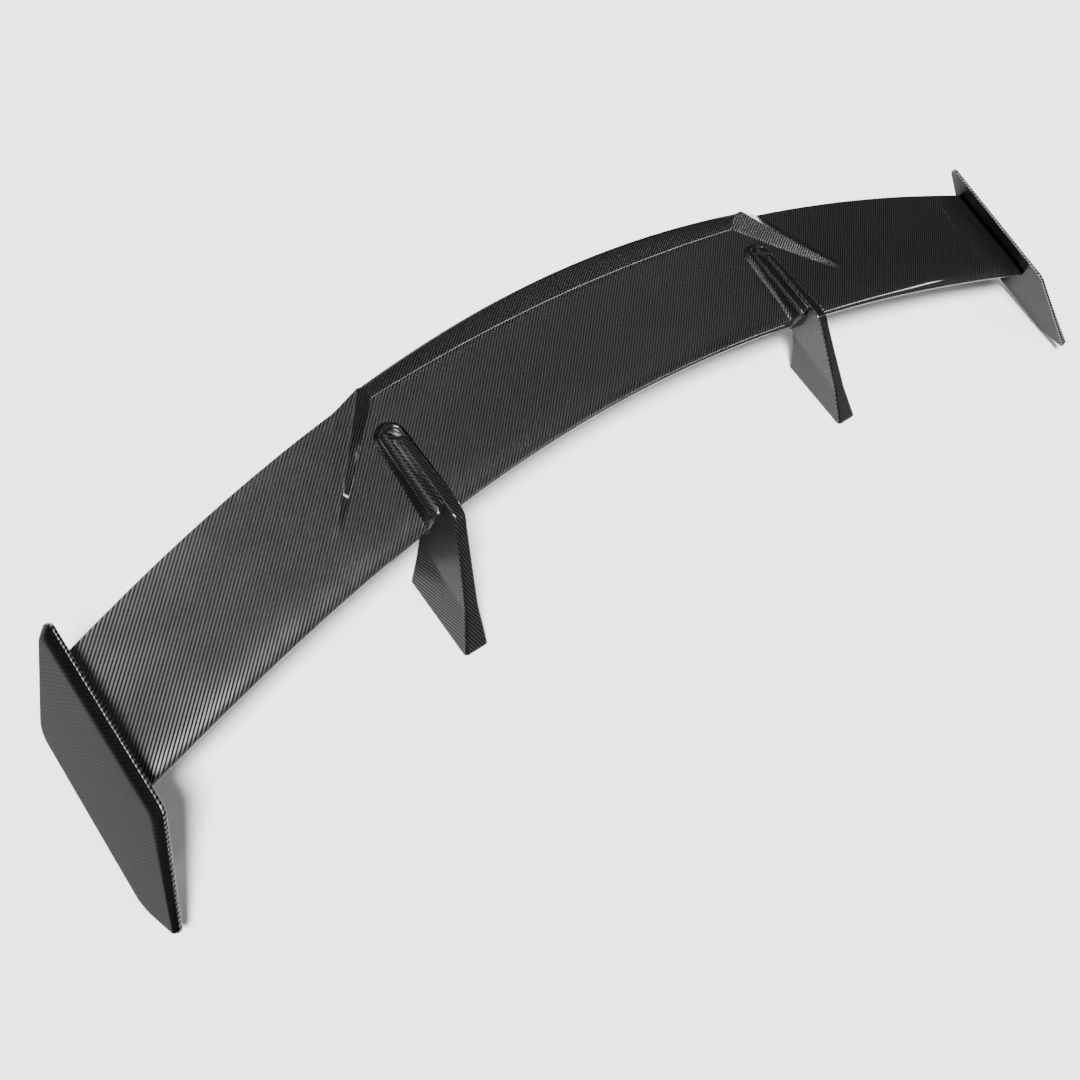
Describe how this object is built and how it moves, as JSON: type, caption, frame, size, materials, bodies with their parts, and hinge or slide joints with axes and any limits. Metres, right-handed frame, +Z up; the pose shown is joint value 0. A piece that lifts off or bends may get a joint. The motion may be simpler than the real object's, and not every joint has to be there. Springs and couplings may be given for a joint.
{
  "type": "racing rear wing",
  "caption": "Moulded carbon rear wing with a raised centre flap, two swan-neck struts bolted over its top and canted bevelled end plates.",
  "frame": {"origin": "middle of the wing's span and depth, on the boot-lid plane under the strut gaskets", "axes": "+X towards the right tip, +Y to the rear (trailing edge), +Z up"},
  "size_m": [1.4764, 0.3943, 0.1192],
  "materials": {
    "carbon_wing": "clear-lacquered 2x2 twill carbon laminate",
    "carbon_strut": "clear-lacquered 2x2 twill carbon laminate",
    "carbon_plate": "clear-lacquered 2x2 twill carbon laminate",
    "carbon_inner": "bare carbon laminate",
    "foam": "closed-cell structural foam",
    "aluminium": "machined",
    "steel": "zinc plated",
    "rubber": "matt"
  },
  "bodies": {
    "root": {"centre_flap": "carbon_wing", "centre_spar": "carbon_inner", "left_arm_screws": "steel", "left_end_plate_core": "foam", "left_end_plate_dowels": "steel", "left_end_plate_inner_skin": "carbon_plate", "left_end_plate_outer_tray": "carbon_plate", "left_end_rib": "aluminium", "left_fin": "carbon_wing", "left_foot_gasket": "rubber", "left_foot_plate": "aluminium", "left_hardpoint": "aluminium", "left_spar": "carbon_inner", "left_strut_backbone": "aluminium", "left_strut_inner_shell": "carbon_strut", "left_strut_outer_shell": "carbon_strut", "left_strut_saddle": "carbon_strut", "rear_stringer": "carbon_inner", "right_arm_screws": "steel", "right_end_plate_core": "foam", "right_end_plate_dowels": "steel", "right_end_plate_inner_skin": "carbon_plate", "right_end_plate_outer_tray": "carbon_plate", "right_end_rib": "aluminium", "right_fin": "carbon_wing", "right_foot_gasket": "rubber", "right_foot_plate": "aluminium", "right_hardpoint": "aluminium", "right_spar": "carbon_inner", "right_strut_backbone": "aluminium", "right_strut_inner_shell": "carbon_strut", "right_strut_outer_shell": "carbon_strut", "right_strut_saddle": "carbon_strut", "wing_lower_skin": "carbon_wing", "wing_upper_skin": "carbon_wing"}
  },
  "joints": []
}
